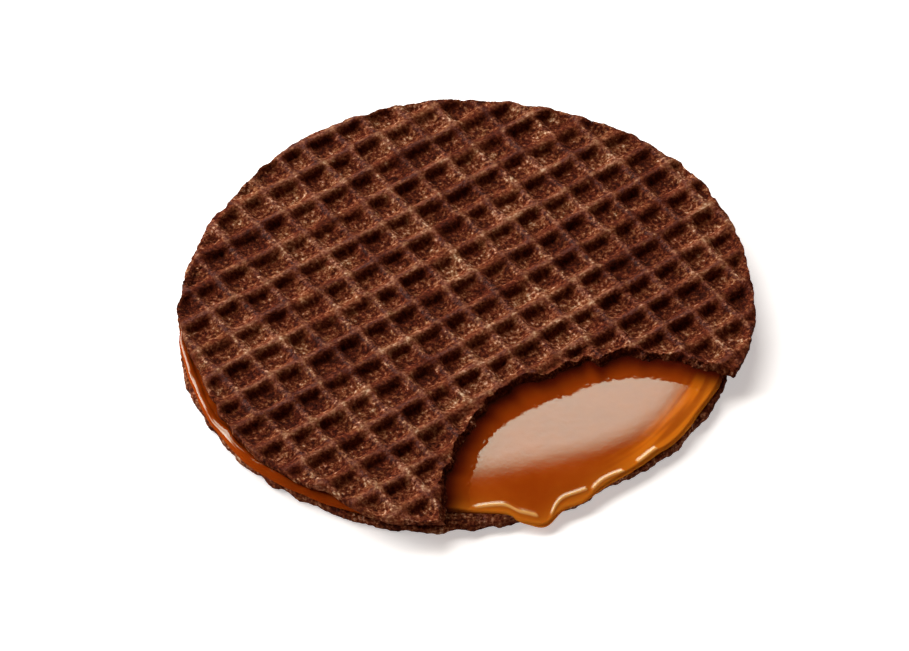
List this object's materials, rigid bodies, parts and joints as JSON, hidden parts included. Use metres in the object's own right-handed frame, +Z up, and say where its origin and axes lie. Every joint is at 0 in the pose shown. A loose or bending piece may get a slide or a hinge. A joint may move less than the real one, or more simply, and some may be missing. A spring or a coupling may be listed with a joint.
{
  "type": "stroopwafel",
  "caption": "Round waffled biscuit of two thin dark wafers with soft caramel between them, bitten at one side so that the caramel shows and runs over the rim.",
  "frame": {"origin": "centre of the lower wafer's underside, on a crossing of its ridges", "axes": "+Z up through the biscuit's thickness, +X to the right and -Y towards the bitten front rim"},
  "size_m": [0.1008, 0.1003, 0.0048],
  "materials": {
    "lower_wafer": "baked cocoa wafer, crumbly and matt",
    "caramel": "sticky glossy caramel",
    "upper_wafer": "baked cocoa wafer, slightly waxy on its ridges"
  },
  "bodies": {
    "root": {"lower_wafer": "lower_wafer", "caramel_filling": "caramel", "upper_wafer": "upper_wafer"}
  },
  "joints": []
}
